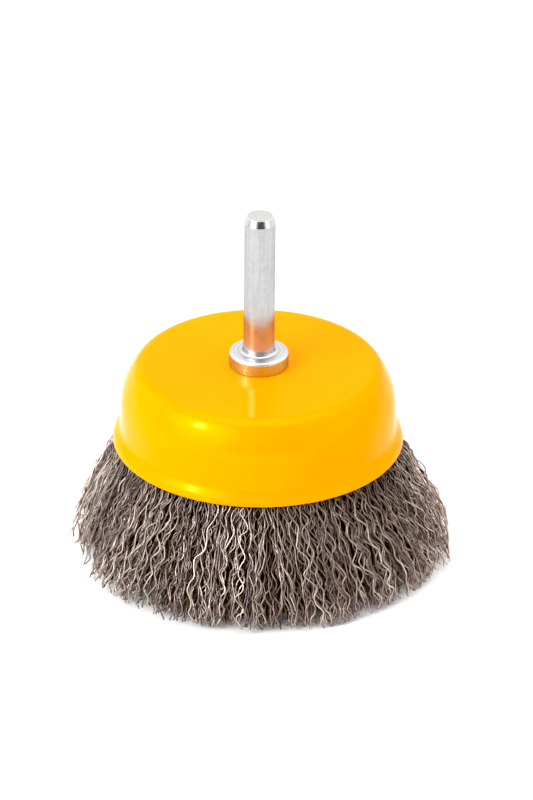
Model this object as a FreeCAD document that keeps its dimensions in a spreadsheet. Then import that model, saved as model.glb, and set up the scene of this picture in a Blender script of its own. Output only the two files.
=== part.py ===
import FreeCAD, Part
import math
import os
import Sketcher

# Wire cup brush with a round shank, in millimetres.
# The frame: the origin is on the brush's axis in the plane of the wire tips, which the
# brush stands on, and +Z runs up along the shank.

doc = FreeCAD.newDocument("wire_cup_brush")

# ---------------------------------------------------------------------------
# Driving dimensions
# ---------------------------------------------------------------------------
sheet = doc.addObject("Spreadsheet::Sheet", "dims")
CELLS = [
    # heights above the plane of the wire tips
    ("rim_z", 22.2, "lower edge of the cup"),
    ("cup_top_z", 38.0, "outer face of the cup's flat top"),
    ("flare_low_z", 23.4, "where the skirt becomes straight again"),
    ("flare_high_z", 25.0, "where the wall starts to flare into the skirt"),
    # the pressed cup, radii of the outer face
    ("sheet_thick", 1.0, "sheet thickness of the cup"),
    ("shoulder_r", 23.09, "corner between the flat top and the shoulder's slope"),
    ("shoulder_z", 33.41, "height of the corner between that slope and the wall"),
    ("wall_top_r", 26.3, "wall under the shoulder"),
    ("wall_low_r", 26.52, "wall above the flare"),
    ("skirt_top_r", 27.65, "skirt under the flare"),
    ("rim_r", 28.0, "lower edge of the skirt"),
    ("shoulder_round", 2.6, "outer bend from the flat top into the slope"),
    ("shoulder_wide", 13.0, "outer bend from the slope into the wall"),
    ("flare_round", 1.8, "bends of the flare where they are tightest"),
    ("rim_round", 0.25, "edges of the rim"),
    # the turned shank with its collar, its spigot and its riveted end
    ("shank_r", 3.0, "shank"),
    ("shank_top_z", 69.5, "end face of the shank"),
    ("end_cham_r", 0.5, "radial width of the end chamfer"),
    ("end_cham_high", 1.4, "height of the end chamfer"),
    ("collar_r", 5.7, "collar"),
    ("collar_high", 2.9, "collar height above the cup"),
    ("collar_flat_r", 4.7, "level part of the collar's upper face"),
    ("collar_slope", 0.15, "drop from there to the collar's edge"),
    ("collar_round", 0.5, "upper edge of the collar"),
    ("collar_under", 0.18, "lower edge of the collar"),
    ("foot_round", 0.6, "fillet between shank and collar"),
    ("spigot_r", 3.0, "spigot through cup and inner cup"),
    ("rivet_r", 4.8, "riveted head"),
    ("rivet_high", 1.7, "riveted head"),
    ("rivet_round", 0.9, "edge of the riveted head"),
    # the inner cup, which clamps the wires
    ("inner_thick", 1.0, "sheet thickness of the inner cup"),
    ("inner_flat_r", 14.2, "corner of its flat bottom, outer face"),
    ("inner_wall_r", 16.2, "lower end of its wall, outer face"),
    ("inner_lip_r", 17.9, "edge of its flared lip, outer face"),
    ("inner_lip_z", 26.6, "lower edge of its lip"),
    ("inner_bend_z", 28.6, "where the lip flares out"),
    ("inner_round", 2.4, "outer bend of the inner cup"),
    # the ring that the wires are folded over
    ("anchor_r", 20.2, "centre line of the ring"),
    ("anchor_wire_r", 1.25, "wire of the ring"),
    ("anchor_z", 32.4, "height of the ring"),
    # the bunch of wires
    ("tips_out_r", 37.5, "outer edge of the tips"),
    ("tips_in_r", 21.5, "inner edge of the tips"),
    ("bulge_r", 33.4, "outer face of the wires half way down"),
    ("bulge_z", 9.4, "height of that point"),
    ("under_rim_r", 29.6, "outer face of the wires just below the rim"),
    ("under_rim_z", 19.6, "height of that point"),
    ("inner_mid_r", 19.3, "inner face of the wires half way down"),
    ("inner_mid_z", 14.0, "height of that point"),
    ("split_half", 0.3, "half of the gap between the two legs of the folded wires"),
    ("split_low_r", 28.4, "the gap's middle at the tips"),
]
for row, (alias, value, note) in enumerate(CELLS, start=1):
    sheet.set("A%d" % row, str(value))
    sheet.setAlias("A%d" % row, alias)
    sheet.set("B%d" % row, note)
doc.recompute()
VALUE = {alias: float(sheet.get(alias)) for alias, value, note in CELLS}


def number(text):
    """The value of an expression in the sheet's aliases, for a sketch's first shape."""
    tokens = text.replace("+", " + ").replace("-", " - ").split()
    total, sign = 0.0, 1.0
    for token in tokens:
        if token == "+":
            sign = 1.0
        elif token == "-":
            sign = -1.0
        else:
            total += sign * (VALUE[token] if token in VALUE else float(token))
            sign = 1.0
    return total


def bound(text):
    """The same expression as the document binds it."""
    out = []
    for token in text.replace("+", " + ").replace("-", " - ").split():
        out.append("dims." + token if token in VALUE else token)
    return " ".join(out)


def plane_of(body, role):
    for feature in body.Origin.OriginFeatures:
        if feature.Role == role:
            return feature
    raise RuntimeError("no plane " + role)


def revolved(label, corners):
    """A body turned about Z from a closed outline of (radius, height) corners.

    Each corner is a pair of expressions in the sheet's aliases. A radius of "0" lies on
    the axis, and a height of "0" lies in the plane of the tips.
    """
    body = doc.addObject("PartDesign::Body", label + "_body")
    sketch = body.newObject("Sketcher::SketchObject", label + "_outline")
    sketch.AttachmentSupport = [(plane_of(body, "XZ_Plane"), "")]
    sketch.MapMode = "FlatFace"
    places = [FreeCAD.Vector(number(r), number(z), 0) for r, z in corners]
    count = len(places)
    for i in range(count):
        sketch.addGeometry(Part.LineSegment(places[i], places[(i + 1) % count]), False)
    for i in range(count):
        sketch.addConstraint(
            Sketcher.Constraint("Coincident", i, 2, (i + 1) % count, 1)
        )
    doc.recompute()
    for i, (r, z) in enumerate(corners):
        for text, kind, axis in ((r, "DistanceX", -2), (z, "DistanceY", -1)):
            if text == "0":
                sketch.addConstraint(Sketcher.Constraint("PointOnObject", i, 1, axis))
                continue
            index = sketch.addConstraint(
                Sketcher.Constraint(kind, -1, 1, i, 1, number(text))
            )
            name = "%s_%02d" % ("rad" if kind == "DistanceX" else "high", i)
            sketch.renameConstraint(index, name)
            sketch.setExpression("Constraints." + name, bound(text))
    doc.recompute()
    turn = body.newObject("PartDesign::Revolution", label + "_turned")
    turn.Profile = sketch
    turn.ReferenceAxis = (sketch, ["V_Axis"])
    turn.Angle = 360
    doc.recompute()
    return body, turn


def ring_edges(shape, radius, height, tol=0.02):
    """Names of the circular edges about Z with this radius and height."""
    found = []
    for i, edge in enumerate(shape.Edges, start=1):
        curve = edge.Curve
        if not hasattr(curve, "Radius") or not hasattr(curve, "Center"):
            continue
        if abs(curve.Radius - radius) < tol and abs(curve.Center.z - height) < tol:
            found.append("Edge%d" % i)
    if not found:
        raise RuntimeError("no edge at radius %.3f, height %.3f" % (radius, height))
    return found


def rounded(body, base, label, corner, size):
    """Rounds the edge that a corner of the outline leaves, by the size in the sheet."""
    r, z = number(corner[0]), number(corner[1])
    fillet = body.newObject("PartDesign::Fillet", label)
    fillet.Base = (base, ring_edges(base.Shape, r, z))
    fillet.Radius = number(size)
    fillet.setExpression("Radius", bound(size))
    doc.recompute()
    if fillet.Shape.isNull() or not fillet.Shape.isValid():
        raise RuntimeError("fillet failed: " + label)
    return fillet


def finish(obj, label):
    obj.Label = label
    obj.Placement = FreeCAD.Placement()
    return obj


parts = []

# ---------------------------------------------------------------------------
# cup: one pressing of sheet steel. A flat top with a hole for the spigot, a shoulder of
# a tight and a wide bend, a steep wall, and a short flare into a low skirt.
# ---------------------------------------------------------------------------
C_TOP = ("shoulder_r", "cup_top_z")
C_SLOPE = ("wall_top_r", "shoulder_z")
C_HIGH = ("wall_low_r", "flare_high_z")
C_LOW = ("skirt_top_r", "flare_low_z")
C_RIM = ("rim_r", "rim_z")
C_RIM_IN = ("rim_r - sheet_thick", "rim_z")
C_LOW_IN = ("skirt_top_r - 0.92", "flare_low_z - 0.43")
C_HIGH_IN = ("wall_low_r - sheet_thick", "flare_high_z - 0.31")
C_SLOPE_IN = ("wall_top_r - sheet_thick", "shoulder_z - 0.32")
C_TOP_IN = ("shoulder_r - 0.52", "cup_top_z - sheet_thick")
cup_body, feature = revolved(
    "cup",
    [
        ("spigot_r", "cup_top_z"),
        C_TOP,
        C_SLOPE,
        C_HIGH,
        C_LOW,
        C_RIM,
        C_RIM_IN,
        C_LOW_IN,
        C_HIGH_IN,
        C_SLOPE_IN,
        C_TOP_IN,
        ("spigot_r", "cup_top_z - sheet_thick"),
    ],
)
plain_volume = feature.Shape.Volume
feature = rounded(cup_body, feature, "cup_shoulder", C_TOP, "shoulder_round")
feature = rounded(cup_body, feature, "cup_shoulder_wide", C_SLOPE, "shoulder_wide")
feature = rounded(
    cup_body, feature, "cup_shoulder_inside", C_TOP_IN, "shoulder_round - sheet_thick"
)
feature = rounded(
    cup_body, feature, "cup_wide_inside", C_SLOPE_IN, "shoulder_wide - sheet_thick"
)
feature = rounded(cup_body, feature, "cup_flare_high", C_HIGH, "flare_round")
feature = rounded(cup_body, feature, "cup_flare_low", C_LOW, "flare_round")
feature = rounded(
    cup_body, feature, "cup_flare_high_inside", C_HIGH_IN, "flare_round + sheet_thick"
)
feature = rounded(
    cup_body, feature, "cup_flare_low_inside", C_LOW_IN, "flare_round - sheet_thick"
)
feature = rounded(cup_body, feature, "cup_rim_outside", C_RIM, "rim_round")
feature = rounded(cup_body, feature, "cup_rim_inside", C_RIM_IN, "rim_round")
if not 0.8 * plain_volume < feature.Shape.Volume < plain_volume:
    raise RuntimeError("the cup's bends changed its volume too much")
parts.append(finish(cup_body, "cup"))

# ---------------------------------------------------------------------------
# shank: one turned piece. The round shank with a chamfered end, the collar that sits on
# the cup, the spigot through cup and inner cup, and the head riveted over inside.
# ---------------------------------------------------------------------------
RIVET_TOP = "cup_top_z - sheet_thick - inner_thick"
S_FOOT = ("shank_r", "cup_top_z + collar_high")
S_CROWN = ("collar_flat_r", "cup_top_z + collar_high")
S_COLLAR = ("collar_r", "cup_top_z + collar_high - collar_slope")
S_UNDER = ("collar_r", "cup_top_z")
S_RIVET = ("rivet_r", RIVET_TOP + " - rivet_high")
S_CHAM = ("shank_r", "shank_top_z - end_cham_high")
S_END = ("shank_r - end_cham_r", "shank_top_z")
shank_body, feature = revolved(
    "shank",
    [
        ("0", S_RIVET[1]),
        S_RIVET,
        ("rivet_r", RIVET_TOP),
        ("spigot_r", RIVET_TOP),
        ("spigot_r", "cup_top_z"),
        S_UNDER,
        S_COLLAR,
        S_CROWN,
        S_FOOT,
        S_CHAM,
        S_END,
        ("0", "shank_top_z"),
    ],
)
feature = rounded(shank_body, feature, "shank_foot", S_FOOT, "foot_round")
feature = rounded(shank_body, feature, "collar_upper_edge", S_COLLAR, "collar_round")
feature = rounded(shank_body, feature, "collar_lower_edge", S_UNDER, "collar_under")
feature = rounded(shank_body, feature, "rivet_edge", S_RIVET, "rivet_round")
parts.append(finish(shank_body, "shank"))

# ---------------------------------------------------------------------------
# inner_cup: a smaller pressing under the cup, riveted to it by the spigot. Its wall and
# its flared lip press the folded wires outwards against the cup.
# ---------------------------------------------------------------------------
INNER_TOP = "cup_top_z - sheet_thick"
I_TOP = ("inner_flat_r", INNER_TOP)
I_BEND = ("inner_wall_r", "inner_bend_z")
I_LIP = ("inner_lip_r", "inner_lip_z")
I_LIP_IN = ("inner_lip_r - inner_thick", "inner_lip_z")
I_BEND_IN = ("inner_wall_r - inner_thick", "inner_bend_z - 0.3")
I_TOP_IN = ("inner_flat_r - inner_thick - 0.05", INNER_TOP + " - inner_thick")
inner_body, feature = revolved(
    "inner_cup",
    [
        ("spigot_r", INNER_TOP),
        I_TOP,
        I_BEND,
        I_LIP,
        I_LIP_IN,
        I_BEND_IN,
        I_TOP_IN,
        ("spigot_r", INNER_TOP + " - inner_thick"),
    ],
)
feature = rounded(inner_body, feature, "inner_corner", I_TOP, "inner_round")
feature = rounded(
    inner_body, feature, "inner_corner_inside", I_TOP_IN, "inner_round - inner_thick"
)
feature = rounded(inner_body, feature, "inner_lip_edge", I_LIP, "rim_round")
feature = rounded(inner_body, feature, "inner_lip_edge_inside", I_LIP_IN, "rim_round")
parts.append(finish(inner_body, "inner_cup"))

# ---------------------------------------------------------------------------
# anchor_ring: a closed ring of round wire. Every wire of the brush is folded over it.
# ---------------------------------------------------------------------------
anchor = doc.addObject("Part::Torus", "anchor_ring_torus")
for name, text in (("Radius1", "anchor_r"), ("Radius2", "anchor_wire_r")):
    setattr(anchor, name, number(text))
    anchor.setExpression(name, bound(text))
anchor.Label = "anchor_ring"
anchor.Placement = FreeCAD.Placement(
    FreeCAD.Vector(0, 0, number("anchor_z")), FreeCAD.Rotation()
)
anchor.setExpression("Placement.Base.z", bound("anchor_z"))
doc.recompute()
parts.append(anchor)

# ---------------------------------------------------------------------------
# wire_fill: the bunch of crimped wires, as one solid of the bunch's outer shape. Each
# wire is folded over the anchor ring, so there are two legs with a thin gap between them
# under the ring. They fill the space between the cups and spread out below the rim.
# The blank runs into the sheet of both cups and is cut back to their faces.
# ---------------------------------------------------------------------------
fill_body, feature = revolved(
    "wire_fill_blank",
    [
        ("inner_flat_r - 1.6", "cup_top_z - sheet_thick"),
        ("shoulder_r - 1.5", "cup_top_z - sheet_thick"),
        ("shoulder_r - 0.3", "cup_top_z - 0.7"),
        ("shoulder_r + 0.55", "cup_top_z - 1.55"),
        ("wall_top_r - 1.6", "cup_top_z - 3.5"),
        ("wall_top_r - 0.75", "cup_top_z - 6.0"),
        ("wall_low_r - 0.5", "flare_high_z"),
        ("skirt_top_r - 0.5", "flare_low_z"),
        ("rim_r - 0.5", "rim_z"),
        ("under_rim_r", "under_rim_z"),
        ("bulge_r", "bulge_z"),
        ("tips_out_r", "0"),
        ("split_low_r + split_half", "0"),
        ("anchor_r + split_half", "anchor_z"),
        ("anchor_r - split_half", "anchor_z"),
        ("split_low_r - split_half", "0"),
        ("tips_in_r", "0"),
        ("inner_mid_r", "inner_mid_z"),
        ("inner_lip_r - 0.5", "inner_lip_z"),
        ("inner_wall_r - 0.5", "inner_bend_z"),
        ("inner_flat_r - 0.5", "cup_top_z - sheet_thick - 2.2"),
    ],
)
fill_body.Label = "wire_fill_blank"
blank_volume = feature.Shape.Volume

cuts = [cup_body, inner_body, anchor]
fill = fill_body
for i, tool in enumerate(cuts):
    cut = doc.addObject("Part::Cut", "wire_fill_cut_%d" % i)
    cut.Base = fill
    cut.Tool = tool
    doc.recompute()
    if cut.Shape.isNull() or not cut.Shape.Volume < fill.Shape.Volume:
        raise RuntimeError("the wire fill was not cut back to " + tool.Label)
    fill = cut
fill.Label = "wire_fill"
fill.Placement = FreeCAD.Placement()
doc.recompute()
parts.append(fill)

# ---------------------------------------------------------------------------
# Checks, then one STEP file for each piece
# ---------------------------------------------------------------------------
for obj in doc.Objects:
    for word in ("Invalid", "Error"):
        if word in obj.State:
            raise RuntimeError("%s is %s" % (obj.Label, word))

os.makedirs("parts", exist_ok=True)
for obj in parts:
    shape = obj.Shape
    if shape.isNull() or not shape.isValid():
        raise RuntimeError(obj.Label + " has no valid shape")
    if len(shape.Solids) != 1:
        raise RuntimeError("%s has %d solids" % (obj.Label, len(shape.Solids)))
for obj in parts:
    shape = obj.Shape
    box = shape.BoundBox
    print(
        "%-12s volume %10.2f mm3  x %.2f..%.2f  y %.2f..%.2f  z %.2f..%.2f"
        % (
            obj.Label,
            shape.Volume,
            box.XMin,
            box.XMax,
            box.YMin,
            box.YMax,
            box.ZMin,
            box.ZMax,
        )
    )
    shape.exportStep("parts/%s.step" % obj.Label)

# The smallest clearances between neighbours and what they share, for the record
for i in range(len(parts)):
    for j in range(i + 1, len(parts)):
        a, b = parts[i], parts[j]
        gap = a.Shape.distToShape(b.Shape)[0]
        shared = a.Shape.common(b.Shape).Volume if gap < 1e-6 else 0.0
        print("%-12s %-12s gap %.3f  shared %.5f" % (a.Label, b.Label, gap, shared))
print("wall slope %.2f deg" % math.degrees(math.atan2(
    VALUE["wall_low_r"] - VALUE["wall_top_r"], VALUE["shoulder_z"] - VALUE["flare_high_z"]
)))
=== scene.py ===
import math

import bpy
import numpy as np
from mathutils import Matrix, Vector


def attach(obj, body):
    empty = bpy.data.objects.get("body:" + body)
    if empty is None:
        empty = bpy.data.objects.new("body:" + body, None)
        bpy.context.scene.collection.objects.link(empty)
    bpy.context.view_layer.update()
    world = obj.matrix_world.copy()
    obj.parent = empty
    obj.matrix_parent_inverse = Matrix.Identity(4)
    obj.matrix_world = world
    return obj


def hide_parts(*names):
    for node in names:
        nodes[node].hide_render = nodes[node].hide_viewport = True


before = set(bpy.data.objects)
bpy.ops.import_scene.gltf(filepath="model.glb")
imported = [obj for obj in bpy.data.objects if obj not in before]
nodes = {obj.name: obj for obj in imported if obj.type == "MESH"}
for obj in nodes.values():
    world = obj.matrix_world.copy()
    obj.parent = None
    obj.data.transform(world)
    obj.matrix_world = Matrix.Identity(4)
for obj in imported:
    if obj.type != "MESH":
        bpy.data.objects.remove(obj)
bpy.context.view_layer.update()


scene = bpy.context.scene
MM = 0.001

# Sizes of the frame, in millimetres
RIM_Z = 22.2
TOP_Z = 38.0
RING_R, RING_Z = 20.2, 32.4
FILL_R = 37.5


# ---------------------------------------------------------------------------
# Small helpers for materials
# ---------------------------------------------------------------------------
def material(name):
    mat = bpy.data.materials.new(name)
    mat.use_nodes = True
    tree = mat.node_tree
    tree.nodes.clear()
    out = tree.nodes.new("ShaderNodeOutputMaterial")
    bsdf = tree.nodes.new("ShaderNodeBsdfPrincipled")
    tree.links.new(bsdf.outputs[0], out.inputs["Surface"])
    return mat, tree, bsdf


def add(tree, kind, **values):
    node = tree.nodes.new(kind)
    for key, value in values.items():
        setattr(node, key, value)
    return node


def link(tree, a, b):
    tree.links.new(a, b)


def place_at(tree, scale=(1.0, 1.0, 1.0)):
    """Object coordinates, scaled. The objects sit at the origin, so these are metres in the frame."""
    coord = add(tree, "ShaderNodeTexCoord")
    mapping = add(tree, "ShaderNodeMapping")
    mapping.inputs["Scale"].default_value = scale
    link(tree, coord.outputs["Object"], mapping.inputs["Vector"])
    return mapping.outputs[0]


def noise(tree, where, scale, detail=3.0, rough=0.5, distort=0.0):
    node = add(tree, "ShaderNodeTexNoise")
    node.inputs["Scale"].default_value = scale
    node.inputs["Detail"].default_value = detail
    node.inputs["Roughness"].default_value = rough
    node.inputs["Distortion"].default_value = distort
    link(tree, where, node.inputs["Vector"])
    return node.outputs["Fac"]


def ramp(tree, factor, stops):
    node = add(tree, "ShaderNodeValToRGB")
    while len(node.color_ramp.elements) < len(stops):
        node.color_ramp.elements.new(0.5)
    for element, (place, colour) in zip(node.color_ramp.elements, stops):
        element.position = place
        element.color = (*colour, 1.0)
    link(tree, factor, node.inputs["Fac"])
    return node.outputs["Color"]


def span(tree, factor, low, high, new_low, new_high, kind="LINEAR"):
    node = add(tree, "ShaderNodeMapRange", interpolation_type=kind)
    node.inputs["From Min"].default_value = low
    node.inputs["From Max"].default_value = high
    node.inputs["To Min"].default_value = new_low
    node.inputs["To Max"].default_value = new_high
    link(tree, factor, node.inputs["Value"])
    return node.outputs[0]


def mixed(tree, factor, a, b, kind="MIX"):
    node = add(tree, "ShaderNodeMix", data_type="RGBA", blend_type=kind)
    if isinstance(factor, float):
        node.inputs["Factor"].default_value = factor
    else:
        link(tree, factor, node.inputs["Factor"])
    for value, socket in ((a, node.inputs["A"]), (b, node.inputs["B"])):
        if isinstance(value, tuple):
            socket.default_value = (*value, 1.0)
        else:
            link(tree, value, socket)
    return node.outputs["Result"]


def maths(tree, kind, a, b=None):
    node = add(tree, "ShaderNodeMath", operation=kind)
    for value, socket in ((a, node.inputs[0]), (b, node.inputs[1])):
        if value is None:
            continue
        if isinstance(value, float):
            socket.default_value = value
        else:
            link(tree, value, socket)
    return node.outputs[0]


def bump(tree, bsdf, height, distance, strength=1.0):
    node = add(tree, "ShaderNodeBump")
    node.inputs["Strength"].default_value = strength
    node.inputs["Distance"].default_value = distance
    link(tree, height, node.inputs["Height"])
    link(tree, node.outputs[0], bsdf.inputs["Normal"])
    return node


# ---------------------------------------------------------------------------
# Orange-yellow powder coat: a glossy film with faint orange peel, a little uneven in
# thickness and shine
# ---------------------------------------------------------------------------
def paint_material():
    mat, tree, bsdf = material("yellow_paint")
    where = place_at(tree)
    broad = noise(tree, where, 60.0, 2.0, 0.5)
    fine = noise(tree, where, 900.0, 3.0, 0.6)
    colour = ramp(
        tree,
        broad,
        [(0.30, (0.98, 0.286, 0.000)), (0.70, (1.0, 0.305, 0.000))],
    )
    speck = span(tree, fine, 0.62, 0.80, 0.0, 0.10)
    colour = mixed(tree, speck, colour, (1.0, 0.39, 0.003))
    link(tree, colour, bsdf.inputs["Base Color"])
    link(tree, span(tree, broad, 0.3, 0.7, 0.12, 0.16), bsdf.inputs["Roughness"])
    bsdf.inputs["Metallic"].default_value = 0.085
    bsdf.inputs["Specular IOR Level"].default_value = 0.033
    bsdf.inputs["Specular Tint"].default_value = (1.0, 0.92, 0.62, 1.0)
    peel = noise(tree, where, 520.0, 1.5, 0.4)
    bump(tree, bsdf, peel, 0.00002, 0.35)
    return mat


# ---------------------------------------------------------------------------
# Bright zinc plate over turned steel: fine marks of the lathe round the axis, faint
# streaks along it, and a soft cloudiness. The level faces are a little duller.
# ---------------------------------------------------------------------------
def zinc_material(name, light=(0.385, 0.39, 0.39), dark=(0.305, 0.31, 0.315), rough=0.17, faces=()):
    mat, tree, bsdf = material(name)
    where = place_at(tree)
    axes = add(tree, "ShaderNodeSeparateXYZ")
    link(tree, where, axes.inputs[0])
    far = maths(
        tree,
        "SQRT",
        maths(
            tree,
            "ADD",
            maths(tree, "MULTIPLY", axes.outputs["X"], axes.outputs["X"]),
            maths(tree, "MULTIPLY", axes.outputs["Y"], axes.outputs["Y"]),
        ),
    )
    turned = add(tree, "ShaderNodeCombineXYZ")
    link(tree, maths(tree, "MULTIPLY", far, 6500.0), turned.inputs["X"])
    link(tree, maths(tree, "MULTIPLY", axes.outputs["Z"], 6500.0), turned.inputs["Z"])
    rings = noise(tree, turned.outputs[0], 1.0, 2.0, 0.6)
    broad = add(tree, "ShaderNodeCombineXYZ")
    link(tree, maths(tree, "MULTIPLY", far, 2600.0), broad.inputs["X"])
    coarse = noise(tree, broad.outputs[0], 1.0, 1.0, 0.5)
    cloud = noise(tree, where, 950.0, 4.0, 0.65, 0.3)
    streak = noise(tree, place_at(tree, (1500.0, 1500.0, 110.0)), 1.0, 3.0, 0.6)
    tone = maths(tree, "ADD", maths(tree, "MULTIPLY", cloud, 0.45), maths(tree, "MULTIPLY", streak, 0.55))
    colour = ramp(tree, tone, [(0.36, dark), (0.60, light)])
    if faces:
        # painted reflection tone: at the shank's foot, where the paint is reflected, the zinc is tinted bluish and
        # made a little less metallic
        foot_painted_reflection_tone = span(tree, axes.outputs["Z"], 0.0412, 0.0485, 1.0, 0.0, "SMOOTHSTEP")
        foot_painted_reflection_tone = maths(tree, "MULTIPLY", foot_painted_reflection_tone, span(tree, axes.outputs["Z"], 0.0411, 0.0420, 0.0, 1.0))
        colour = mixed(tree, foot_painted_reflection_tone, colour, mixed(tree, 0.75, colour, (0.53, 0.49, 0.60)))
        link(tree, span(tree, foot_painted_reflection_tone, 0.0, 1.0, 1.0, 0.80), bsdf.inputs["Metallic"])
    else:
        bsdf.inputs["Metallic"].default_value = 1.0
    bsdf.inputs["Specular Tint"].default_value = (0.66, 0.66, 0.66, 1.0)
    dull = None
    for low, high, inside in faces:
        band = maths(
            tree,
            "MULTIPLY",
            span(tree, axes.outputs["Z"], low - 0.00004, low + 0.00004, 0.0, 1.0),
            span(tree, axes.outputs["Z"], high - 0.00004, high + 0.00004, 1.0, 0.0),
        )
        band = maths(tree, "MULTIPLY", band, span(tree, far, inside, inside + 0.0002, 0.0, 1.0))
        dull = band if dull is None else maths(tree, "MAXIMUM", dull, band)
    mottled = span(tree, tone, 0.35, 0.65, rough - 0.03, rough + 0.05)
    if dull is not None:
        mottled = maths(tree, "ADD", mottled, maths(tree, "MULTIPLY", dull, 0.20))
        # the collar's rim is a little duller than the shank, and tinted paler and bluer as a painted tone for the
        # paint's reflection in it
        rim_painted_reflection_tone = span(tree, axes.outputs["Z"], 0.0404, 0.0406, 1.0, 0.0)
        mottled = maths(tree, "ADD", mottled, maths(tree, "MULTIPLY", rim_painted_reflection_tone, 0.10))
        colour = mixed(tree, rim_painted_reflection_tone, colour, mixed(tree, 0.9, colour, (0.50, 0.57, 0.60)))
        # the chamfer at the shank's end is cut last, and is brighter than the wall
        cut = span(tree, axes.outputs["Z"], 0.06802, 0.06818, 0.0, 1.0)
        colour = mixed(tree, cut, colour, (0.48, 0.485, 0.48))
        level = ramp(tree, rings, [(0.35, (0.60, 0.60, 0.59)), (0.62, (0.76, 0.76, 0.745))])
        # broader rings on the collar, which the end face doesn't have
        worn = ramp(tree, coarse, [(0.40, (0.54, 0.55, 0.55)), (0.60, (0.80, 0.80, 0.79))])
        level = mixed(tree, span(tree, axes.outputs["Z"], 0.045, 0.046, 0.8, 0.0), level, worn)
        colour = mixed(tree, dull, colour, level)
    link(tree, colour, bsdf.inputs["Base Color"])
    link(tree, mottled, bsdf.inputs["Roughness"])
    height = rings
    if faces:
        height = maths(tree, "ADD", rings, maths(tree, "MULTIPLY", coarse, 3.0))
        height = maths(tree, "MULTIPLY", height, maths(tree, "SUBTRACT", 1.0, rim_painted_reflection_tone))
    bump(tree, bsdf, height, 0.000007, 0.6)
    return mat


def steel_material():
    mat, tree, bsdf = material("plain_steel")
    where = place_at(tree)
    cloud = noise(tree, where, 700.0, 4.0, 0.6)
    link(
        tree,
        ramp(tree, cloud, [(0.3, (0.36, 0.34, 0.33)), (0.7, (0.56, 0.55, 0.54))]),
        bsdf.inputs["Base Color"],
    )
    bsdf.inputs["Metallic"].default_value = 1.0
    link(tree, span(tree, cloud, 0.3, 0.7, 0.28, 0.42), bsdf.inputs["Roughness"])
    return mat


# ---------------------------------------------------------------------------
# Drawn steel wire with a thin brown tarnish. The tint layer holds, for each wire, how far
# it has turned (red), its lightness with painted light and shade by where it lies (green) and how deep it lies in the
# bunch (blue), which sets painted shade.
# ---------------------------------------------------------------------------
def wire_material():
    mat, tree, bsdf = material("crimped_wire")
    tint = add(tree, "ShaderNodeAttribute", attribute_name="tint")
    parts = add(tree, "ShaderNodeSeparateColor")
    link(tree, tint.outputs["Color"], parts.inputs["Color"])
    where = place_at(tree)
    streak = noise(tree, where, 380.0, 3.0, 0.6)
    turned = maths(tree, "ADD", parts.outputs["Red"], span(tree, streak, 0.3, 0.7, -0.22, 0.22))
    colour = ramp(
        tree,
        turned,
        [
            (0.05, (0.740, 0.652, 0.575)),
            (0.35, (0.615, 0.497, 0.432)),
            (0.65, (0.408, 0.310, 0.287)),
            (0.95, (0.205, 0.152, 0.163)),
        ],
    )
    light = add(tree, "ShaderNodeHueSaturation")
    # painted shade: the wires are darker the deeper they lie in the bunch
    painted_depth_shade = span(tree, parts.outputs["Blue"], 0.05, 0.58, 1.0, 0.42)
    axes = add(tree, "ShaderNodeSeparateXYZ")
    link(tree, where, axes.inputs[0])
    # and painted shade close under the rim, where the cup shades them
    painted_depth_shade = maths(tree, "MULTIPLY", painted_depth_shade, span(tree, axes.outputs["Z"], 0.0160, 0.0222, 1.0, 0.54))
    link(tree, maths(tree, "MULTIPLY", parts.outputs["Green"], painted_depth_shade), light.inputs["Value"])
    link(tree, colour, light.inputs["Color"])
    link(tree, light.outputs[0], bsdf.inputs["Base Color"])
    bsdf.inputs["Metallic"].default_value = 1.0
    link(tree, span(tree, streak, 0.3, 0.7, 0.30, 0.42), bsdf.inputs["Roughness"])
    return mat


paint = paint_material()
zinc = zinc_material("zinc_steel", faces=((0.0405, 0.0411, 0.0031), (0.0694, 0.0700, 0.0)))
zinc_plate = zinc_material("zinc_plate", (0.62, 0.62, 0.61), (0.46, 0.46, 0.46), 0.28)
steel = steel_material()
wire = wire_material()


def wear(obj, mat):
    obj.data.materials.clear()
    obj.data.materials.append(mat)


wear(nodes["cup"], paint)
wear(nodes["shank"], zinc)
wear(nodes["inner_cup"], zinc_plate)
wear(nodes["anchor_ring"], steel)


# ---------------------------------------------------------------------------
# The crimped wires. Each one is a hairpin: from its outer tip up into the cup, over the
# anchor ring, and down again to its inner tip. Layer 0 is the outermost and innermost
# pair of legs, layer 1 the pair next to the parting.
# ---------------------------------------------------------------------------
def smooth(x):
    x = np.clip(x, 0.0, 1.0)
    return x * x * (3.0 - 2.0 * x)


def around(angle, seed, octaves):
    """A smooth random value for each angle, the same after a full turn, about -1 to 1."""
    own = np.random.default_rng(seed)
    total = np.zeros(len(angle))
    for k in octaves:
        total += own.normal() * np.cos(k * angle) + own.normal() * np.sin(k * angle)
    return total / math.sqrt(len(octaves))


class Locks:
    """Locks of wires that lie side by side: each takes the same lean, crimp and length."""

    def __init__(self, angle, count, seed):
        own = np.random.default_rng(seed)
        edges = np.sort((np.arange(count) + own.uniform(-0.42, 0.42, count)) * 2.0 * math.pi / count)
        loose = angle + own.normal(0.0, 0.14 * 2.0 * math.pi / count, len(angle))
        self.at = np.searchsorted(edges, np.mod(loose, 2.0 * math.pi)) % count
        nxt = np.roll(edges, -1)
        nxt[-1] += 2.0 * math.pi
        middle = np.roll(0.5 * (edges + nxt), 1)
        off = angle - middle[self.at]
        self.off = np.mod(off + math.pi, 2.0 * math.pi) - math.pi
        self.own, self.count = own, count

    def value(self, spread):
        return (self.own.normal(0.0, 1.0, self.count) * spread)[self.at]

    def turn(self):
        return (self.own.random(self.count) * 2.0 * math.pi)[self.at]


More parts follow.
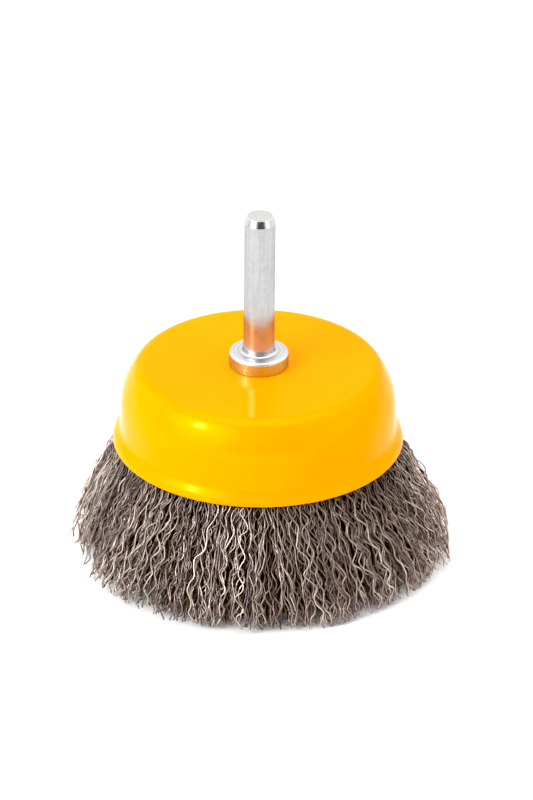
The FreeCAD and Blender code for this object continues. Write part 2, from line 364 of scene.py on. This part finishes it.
def legs(angle, layer, inner, steps, seed):
    """Points of one leg of each wire, from the cup down to the tip, with the crimp.

    Returns radius, height and sideways offset, each (wires, steps), in millimetres.
    """
    own = np.random.default_rng(seed)
    n = len(angle)
    lock = Locks(angle, 34 if inner else 46, seed + 7)
    q = np.linspace(0.0, 1.0, steps)[None, :]
    if inner:
        start_z = np.full(n, 26.4)
        start_r = 18.25 + 1.6 * layer
        end_r = 22.0 + 6.2 * layer
        arch = np.zeros(n)
    else:
        start_z = np.full(n, RIM_Z + 0.2)
        start_r = 26.5 - 2.85 * layer
        front, behind = np.clip(-np.sin(angle), 0.0, 1.0), np.clip(np.sin(angle), 0.0, 1.0)
        end_r = 36.9 - 7.8 * layer + 1.6 * front ** 2 - 1.2 * behind + 0.2 * np.cos(angle)
        arch = (0.68 - 0.42 * np.cos(angle)) * (1.0 - 0.6 * behind) * (1.0 - layer) ** 1.2
    end_r = end_r + own.normal(0.0, 0.60, n) + lock.value(0.70) + 0.25 * around(angle, 31 + inner, (2, 3, 5, 7))
    end_z = 0.12 + np.abs(own.normal(0.0, 0.75, n)) + np.abs(lock.value(0.85))
    lean = lock.value(1.35) + own.normal(0.0, 1.35, n)
    bow = lock.value(0.55) + own.normal(0.0, 0.50, n)
    out_bow = lock.value(0.30) + own.normal(0.0, 0.22, n)
    # a few wires stand out of the bunch
    stray = own.random(n) < (0.03 if inner else 0.08)
    lean = np.where(stray, lean + own.normal(0.0, 2.8, n), lean)
    bow = np.where(stray, own.normal(0.0, 1.6, n), bow)
    end_z = np.where(stray, end_z + own.random(n) * 2.2, end_z)
    if not inner:
        end_r = np.where(stray, end_r + own.random(n) * 1.2, end_r)
        out_bow = np.where(stray, out_bow + own.random(n) * 0.6, out_bow)
    if not inner:
        # on the left the bunch is drawn in, and a loose tuft stands off from it
        turn = np.degrees(np.mod(angle, 2.0 * math.pi))
        drawn_in = np.exp(-(((turn - 201.0) / 14.0) ** 2))
        tuft = (own.random(n) < 0.50) & (np.abs(turn - 194.0) < 8.0)
        end_r = end_r - np.where(tuft, 0.4, 3.2) * drawn_in
        out_bow = out_bow + np.where(tuft, 0.5, -0.4) * drawn_in
        end_z = np.where(tuft, end_z + 2.0 * own.random(n), end_z)
        # on the right the tips flare out past the others
        flared = np.exp(-(((np.mod(turn + 180.0, 360.0) - 180.0 + 15.0) / 11.0) ** 2))
        end_r = end_r + np.where(own.random(n) < 0.45, 1.0 + 2.4 * own.random(n), 0.0) * flared
    length = start_z - end_z
    path = np.hypot(length, end_r - start_r)

    # the crimp: a wave in a plane of its own, uneven in height and pitch along the wire
    pitch = 5.5 * (1.0 + lock.value(0.06) + 0.06 * own.normal(0.0, 1.0, n))
    size = 0.62 * np.clip(1.0 + lock.value(0.12) + 0.28 * own.normal(0.0, 1.0, n), 0.35, 1.3)
    phase = lock.turn() + own.normal(0.0, 0.85, n)
    loose = own.random(n) < 0.26
    phase = np.where(loose, own.random(n) * 2.0 * math.pi, phase)
    plane = lock.value(0.55) + own.normal(0.0, 0.50, n)
    turns = 2.0 * math.pi * path / pitch
    sway = (own.random((2, n)) * 2.0 * math.pi)[:, :, None]
    at = q * turns[:, None] + phase[:, None] + 0.45 * np.sin(2.0 * math.pi * q * 1.3 + sway[0])
    wave = size[:, None] * (1.0 + 0.28 * np.sin(2.0 * math.pi * q * 1.7 + sway[1])) * np.sin(at)
    wave = wave + 0.09 * np.sin(2.37 * at + sway[1])

    down = q * length[:, None]
    z = start_z[:, None] - down
    r = start_r[:, None] + (end_r - start_r)[:, None] * q + arch[:, None] * 4.0 * q * (1.0 - q)
    # just under the rim the cup holds the wires, so the crimp stays within the sheet
    freed = smooth(down / 3.0)
    # on the flanks the outermost wires lie flatter
    flat = 1.0 - 0.45 * np.abs(np.cos(angle)) * (1.0 - layer) * (not inner)
    r = r + out_bow[:, None] * np.sin(math.pi * q) + wave * (np.sin(plane) * flat)[:, None] * (0.25 + 0.75 * freed)
    drawn = -lock.off * end_r * 0.42
    # the front of the bunch is swept towards the two flanks
    swept = 2.4 * np.sin(2.0 * angle + math.pi) * np.clip(-2.0 * np.sin(angle), 0.0, 1.0)
    side = (lean + drawn + swept)[:, None] * q ** 1.35 + bow[:, None] * np.sin(math.pi * q) * q
    side = side + wave * np.cos(plane)[:, None] * (0.55 + 0.45 * smooth(down / 1.6))
    if not inner:
        hold = 26.75 + 1.05 * np.clip(down, 0.0, 3.0)
        r = np.where(down < 3.0, np.minimum(r, hold), r)
    return r, z, side


def fold(layer, steps):
    """Points over the anchor ring, between the two legs' tops: (wires, steps) of radius and height."""
    n = len(layer)
    bend = 1.95 + 2.25 * (1.0 - layer)
    out_r = np.stack([25.0 - 2.25 * layer, 24.8 - 2.1 * layer, RING_R + bend * 0.99], 1)
    out_z = np.stack([np.full(n, 24.9), np.full(n, 27.0), np.full(n, RING_Z - 0.6)], 1)
    theta = np.radians(np.linspace(48.0, 132.0, steps - 5))[None, :]
    top_r = RING_R + bend[:, None] * np.cos(theta)
    top_z = RING_Z + bend[:, None] * np.sin(theta) * np.where(bend[:, None] > 4.0, 0.97, 1.0)
    in_r = np.stack([RING_R - bend * 0.97, 16.9 + 2.1 * layer], 1)
    in_z = np.stack([np.full(n, RING_Z - 0.8), np.full(n, 29.2)], 1)
    return np.concatenate([out_r, top_r, in_r], 1), np.concatenate([out_z, top_z, in_z], 1)


def tubes(name, centre, across, sides, radius, tint):
    """One mesh of a tube round each row of points, with cut ends and a map that gives each wire its own strip."""
    n, steps = centre.shape[:2]
    along = np.gradient(centre, axis=1)
    along /= np.linalg.norm(along, axis=2, keepdims=True)
    one = across[:, None, :] - (along * across[:, None, :]).sum(2, keepdims=True) * along
    one /= np.linalg.norm(one, axis=2, keepdims=True)
    two = np.cross(along, one)
    angles = np.arange(sides) * 2.0 * math.pi / sides
    rings = (
        centre[:, :, None, :]
        + radius
        * (
            np.cos(angles)[None, None, :, None] * one[:, :, None, :]
            + np.sin(angles)[None, None, :, None] * two[:, :, None, :]
        )
    )
    verts = rings.reshape(-1, 3) * MM
    base = (np.arange(n) * steps * sides)[:, None, None] + (np.arange(steps - 1) * sides)[None, :, None]
    k = np.arange(sides)[None, None, :]
    k2 = (np.arange(sides) + 1) % sides
    quads = np.stack(
        [base + k, base + k2[None, None, :], base + sides + k2[None, None, :], base + sides + k], -1
    ).reshape(-1, 4)
    first = (np.arange(n) * steps * sides)[:, None]
    caps_a = first + np.arange(sides)[::-1][None, :]
    caps_b = first + (steps - 1) * sides + np.arange(sides)[None, :]
    mesh = bpy.data.meshes.new(name)
    loops = np.concatenate([quads.ravel(), caps_a.ravel(), caps_b.ravel()]).astype(np.int32)
    counts = np.concatenate([np.full(len(quads), 4), np.full(2 * n, sides)]).astype(np.int32)
    starts = np.concatenate([[0], np.cumsum(counts)[:-1]]).astype(np.int32)
    mesh.vertices.add(len(verts))
    mesh.vertices.foreach_set("co", verts.astype(np.float32).ravel())
    mesh.loops.add(len(loops))
    mesh.loops.foreach_set("vertex_index", loops)
    mesh.polygons.add(len(counts))
    mesh.polygons.foreach_set("loop_start", starts)
    mesh.polygons.foreach_set("loop_total", counts)
    smooth_face = np.ones(len(counts), bool)
    smooth_face[len(quads):] = False
    mesh.polygons.foreach_set("use_smooth", smooth_face)
    mesh.update(calc_edges=True)
    mesh.validate()
    # each wire's strip on the map: across it one way, along it the other
    strip = 1.0 / n
    wire_of = loops // (steps * sides)
    step_of = (loops // sides) % steps
    uv = np.zeros((len(loops), 2))
    uv[:, 1] = 0.004 + 0.992 * step_of / (steps - 1)
    corner = np.zeros(len(loops))
    corner[: len(quads) * 4] = np.tile(
        np.stack([np.arange(sides), np.arange(sides) + 1, np.arange(sides) + 1, np.arange(sides)], -1).ravel(),
        len(quads) // sides,
    )
    corner[len(quads) * 4:] = loops[len(quads) * 4:] % sides
    uv[:, 0] = (wire_of + 0.12 + 0.76 * corner / sides) * strip
    layer = mesh.uv_layers.new(name="strips")
    layer.uv.foreach_set("vector", uv.astype(np.float32).ravel())
    colours = mesh.color_attributes.new("tint", "FLOAT_COLOR", "POINT")
    full = np.ones((n, steps, sides, 4))
    full[..., :3] = tint[:, :, None, :]
    colours.data.foreach_set("color", full.astype(np.float32).ravel())
    obj = bpy.data.objects.new(name, mesh)
    scene.collection.objects.link(obj)
    obj.data.materials.append(wire)
    return obj


def bunch(name, count, low, high, sides, radius, out_steps, fold_steps, in_steps, seed):
    """A bunch of hairpin wires whose layers run from low to high."""
    own = np.random.default_rng(seed)
    angle = (np.arange(count) + own.random(count)) * 2.0 * math.pi / count
    layer = low + (high - low) * own.random(count)
    r1, z1, s1 = legs(angle, layer, 0, out_steps, seed + 1)
    rf, zf = fold(layer, fold_steps)
    r2, z2, s2 = legs(angle, layer, 1, in_steps, seed + 2)
    r = np.concatenate([r1[:, ::-1], rf, r2], 1)
    z = np.concatenate([z1[:, ::-1], zf, z2], 1)
    side = np.concatenate([s1[:, ::-1], np.zeros_like(rf), s2], 1)
    # the sideways offset at the tops of the legs eases off over the fold
    ease = np.linspace(0.8, 0.2, fold_steps)[None, :]
    side[:, out_steps:out_steps + fold_steps] = s1[:, :1] * ease + s2[:, :1] * (1.0 - ease)
    outward = np.stack([np.cos(angle), np.sin(angle), np.zeros(count)], 1)
    across = np.stack([-np.sin(angle), np.cos(angle), np.zeros(count)], 1)
    centre = outward[:, None, :] * r[:, :, None] + across[:, None, :] * side[:, :, None]
    centre[:, :, 2] = np.maximum(z, radius)
    # the bunch is combed a little to +X
    centre[:, :, 0] += 0.5 * np.clip((RIM_Z - z) / RIM_Z, 0.0, 1.0) ** 1.2
    # no wire reaches past the bunch's own outline: those that would are bent back softly
    reach = np.hypot(centre[:, :, 0], centre[:, :, 1])
    turn = np.arctan2(centre[:, :, 1], centre[:, :, 0])
    limit = (FILL_R - radius - 0.05) * np.minimum(
        1.0 + 0.042 * np.exp(-(((np.degrees(turn) + 16.0) / 9.0) ** 2)),
        1.0 / np.maximum(np.abs(np.cos(turn)), np.abs(np.sin(turn))),
    )
    over = np.maximum(reach - (limit - 1.3), 0.0)
    held = np.where(over > 0.0, limit - 1.3 * np.exp(-over / 1.3), reach)
    keep = held / np.maximum(reach, 1e-6)
    centre[:, :, :2] *= keep[:, :, None]
    steps = centre.shape[1]
    tint = np.zeros((count, steps, 3))
    tint[..., 0] = np.clip(own.normal(0.46, 0.22, count), 0.0, 1.0)[:, None]
    # the wires are painted darker on the left and lighter on the right, as painted light and shade by side, over each
    # wire's own random lightness
    right = np.clip((np.cos(angle) - 0.4) / 0.5, 0.0, 1.0)
    shine = np.exp(own.normal(-0.08, 0.34, count) * (1.0 + 0.25 * np.abs(np.cos(angle)))) * (1.0 + 0.22 * np.cos(angle) + 0.18 * right)
    # and those on the right get painted shade at their tops, where the cup shades them
    shaded = 1.0 - 0.34 * right[:, None] * np.clip(z / RIM_Z, 0.0, 1.0) ** 2
    # the wires are made lighter towards their tips
    shaded = shaded * (1.0 + 0.22 * np.clip((9.0 - z) / 9.0, 0.0, 1.0))
    # the wires at the front are painted darker, which dims the lamp's glints on them there
    shine = np.clip(shine, 0.30, 1.18) * (1.0 - 0.24 * np.clip(-np.sin(angle), 0.0, 1.0))
    tint[..., 1] = np.minimum(shine[:, None] * shaded, 1.30)
    tint[..., 2] = layer[:, None]
    obj = tubes(name, centre, across, sides, radius, tint)
    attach(obj, "root")
    return obj


bunches = [
    bunch("wires_outer_one", 420, 0.00, 0.34, 3, 0.172, 46, 9, 20, 101),
    bunch("wires_outer_two", 420, 0.04, 0.50, 3, 0.172, 46, 9, 20, 201),
    bunch("wires_middle_one", 470, 0.25, 0.75, 3, 0.172, 38, 8, 20, 301),
    bunch("wires_middle_two", 500, 0.40, 0.95, 3, 0.172, 34, 8, 20, 401),
    bunch("wires_inner", 512, 0.60, 1.00, 3, 0.172, 32, 8, 20, 501),
]
for obj in bunches:
    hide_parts("wire_fill")

# ---------------------------------------------------------------------------
# Floor, light and camera
# ---------------------------------------------------------------------------
floor_mesh = bpy.data.meshes.new("floor")
half = 12.0
floor_mesh.from_pydata([(-half, -half, 0), (half, -half, 0), (half, half, 0), (-half, half, 0)], [], [(0, 1, 2, 3)])
floor = bpy.data.objects.new("floor", floor_mesh)
scene.collection.objects.link(floor)
floor_mat, tree, bsdf = material("floor_paper")
grain = noise(tree, place_at(tree), 30.0, 3.0, 0.5)
link(tree, ramp(tree, grain, [(0.3, (0.985, 0.985, 0.985)), (0.7, (0.995, 0.995, 0.995))]), bsdf.inputs["Base Color"])
bsdf.inputs["Roughness"].default_value = 0.9
bsdf.inputs["Specular IOR Level"].default_value = 0.1
floor.data.materials.append(floor_mat)

# The studio around the brush: pale walls, brighter on the left, and the unlit room
# behind the camera
world = bpy.data.worlds.new("studio")
scene.world = world
world.use_nodes = True
wt = world.node_tree
wt.nodes.clear()
way = add(wt, "ShaderNodeTexCoord")
axes = add(wt, "ShaderNodeSeparateXYZ")
link(wt, way.outputs["Generated"], axes.inputs[0])
azimuth = maths(wt, "ARCTAN2", axes.outputs["X"], maths(wt, "MULTIPLY", axes.outputs["Y"], -1.0))
height = maths(wt, "ARCSINE", axes.outputs["Z"])
off = maths(wt, "ABSOLUTE", maths(wt, "SUBTRACT", azimuth, math.radians(8.0)))
in_front = span(wt, off, math.radians(24.0), math.radians(42.0), 1.0, 0.0, "SMOOTHSTEP")
low_down = span(wt, height, math.radians(58.0), math.radians(72.0), 1.0, 0.0, "SMOOTHSTEP")
room = maths(wt, "MULTIPLY", in_front, low_down)
side = span(wt, axes.outputs["X"], -0.9, 0.9, 0.98, 1.03, "SMOOTHSTEP")
shade = maths(wt, "MULTIPLY", side, maths(wt, "SUBTRACT", 1.0, maths(wt, "MULTIPLY", room, 0.72)))
overhead = span(wt, height, math.radians(50.0), math.radians(64.0), 0.0, 1.60, "SMOOTHSTEP")
shade = maths(wt, "ADD", shade, maths(wt, "MULTIPLY", overhead, maths(wt, "SUBTRACT", 1.0, room)))


def panel(from_az, to_az, from_el, to_el, soft, more):
    """A brighter patch of the studio wall between two azimuths and two elevations, in degrees."""
    inside = None
    for value, low, high in ((azimuth, from_az, to_az), (height, from_el, to_el)):
        for a, b in (((low - soft), (low + soft)), ((high + soft), (high - soft))):
            edge = span(wt, value, math.radians(a), math.radians(b), 0.0, 1.0, "SMOOTHSTEP")
            inside = edge if inside is None else maths(wt, "MULTIPLY", inside, edge)
    return maths(wt, "MULTIPLY", inside, more)


for extra in (panel(-135.0, -98.0, 12.0, 50.0, 8.0, 0.80), panel(70.0, 135.0, 5.0, 50.0, 8.0, 0.80), panel(-14.0, 30.0, 3.0, 19.0, 5.0, -0.17),
              panel(38.0, 72.0, -2.0, 14.0, 6.0, 1.0), panel(-72.0, -34.0, -2.0, 14.0, 6.0, 1.0)):
    shade = maths(wt, "ADD", shade, extra)
w_out = wt.nodes.new("ShaderNodeOutputWorld")
w_seen = wt.nodes.new("ShaderNodeBackground")
w_seen.inputs["Color"].default_value = (1.0, 1.0, 1.0, 1.0)
w_seen.inputs["Strength"].default_value = 1.1
w_lit = wt.nodes.new("ShaderNodeBackground")
w_lit.inputs["Color"].default_value = (1.0, 1.0, 1.0, 1.0)
link(wt, shade, w_lit.inputs["Strength"])
w_mix = wt.nodes.new("ShaderNodeMixShader")
w_path = wt.nodes.new("ShaderNodeLightPath")
link(wt, w_path.outputs["Is Camera Ray"], w_mix.inputs["Fac"])
link(wt, w_lit.outputs[0], w_mix.inputs[1])
link(wt, w_seen.outputs[0], w_mix.inputs[2])
link(wt, w_mix.outputs[0], w_out.inputs["Surface"])


def softbox(name, azimuth, elevation, distance, width, height, radiance, colour=(1.0, 1.0, 1.0)):
    """An area light that faces the brush. Azimuth 0 is the camera's side, and grows to the camera's right."""
    light = bpy.data.lights.new(name, "AREA")
    light.shape = "ELLIPSE"
    light.size, light.size_y = width, height
    light.energy = radiance * math.pi * width * height
    light.color = colour
    obj = bpy.data.objects.new(name, light)
    scene.collection.objects.link(obj)
    a, e = math.radians(azimuth), math.radians(elevation)
    way = Vector((math.sin(a) * math.cos(e), -math.cos(a) * math.cos(e), math.sin(e)))
    target = Vector((0.0, 0.0, 0.03))
    obj.location = target + way * distance
    obj.rotation_euler = way.to_track_quat("Z", "Y").to_euler()
    return obj


# the lamp on the left is brightest in its middle
softbox("key_left_edge", -54.0, 30.5, 1.05, 1.34, 0.86, 1.3)
softbox("key_left_wide", -54.0, 30.5, 1.03, 0.82, 0.52, 1.8)
softbox("key_left_inner", -54.0, 30.5, 1.02, 0.44, 0.27, 2.2)
middle_lamp = softbox("key_left_middle", -54.0, 30.5, 1.01, 0.18, 0.08, 15.0)
core_lamp = softbox("key_left_core", -54.0, 30.5, 1.0, 0.055, 0.050, 190.0, (0.55, 0.70, 1.0))
# these two are seen in the gloss only, so that the shade on the floor stays soft
middle_lamp.visible_diffuse = False
core_lamp.visible_diffuse = False

# A long lens, level with the photograph's: 28.5 degrees above the floor, one metre away.
# PLACE is where the middle of the cup's top lies in a frame of 533 by 800.
ELEVATION, DISTANCE, SCALE, ROLL = math.radians(28.5), 1.0, 5.24, math.radians(0.6)
PLACE = (258.7, 363.5)
right = Vector((1.0, 0.0, 0.0))
up = Vector((0.0, math.sin(ELEVATION), math.cos(ELEVATION)))
back = Vector((0.0, -math.cos(ELEVATION), math.sin(ELEVATION)))
data = bpy.data.cameras.new("camera")
data.sensor_width = 36.0
data.lens = SCALE * DISTANCE * 1000.0 / 800.0 * 36.0
data.clip_start, data.clip_end = 0.05, 60.0
camera = bpy.data.objects.new("camera", data)
scene.collection.objects.link(camera)
turn_right = right * math.cos(ROLL) + up * math.sin(ROLL)
turn_up = up * math.cos(ROLL) - right * math.sin(ROLL)
middle = Vector((0.0, 0.0, TOP_Z * MM))
dx, dy = PLACE[0] - 266.5, PLACE[1] - 400.0
spot = middle + back * DISTANCE - turn_right * (dx / SCALE * MM) + turn_up * (dy / SCALE * MM)
camera.matrix_world = Matrix(
    (
        (turn_right.x, turn_up.x, back.x, spot.x),
        (turn_right.y, turn_up.y, back.y, spot.y),
        (turn_right.z, turn_up.z, back.z, spot.z),
        (0.0, 0.0, 0.0, 1.0),
    )
)
scene.camera = camera

scene.view_settings.view_transform = "Standard"
scene.view_settings.use_curve_mapping = True
tones = scene.view_settings.curve_mapping
tones.white_level = (1.15, 1.15, 1.15)
tones.black_level = (0.001, 0.006, 0.012)
# straight up to the light tones, then a soft shoulder
curve = tones.curves[3]
for place, value in ((0.35, 0.4375), (0.70, 0.872), (0.84, 0.972)):
    curve.points.new(place, value)
tones.update()
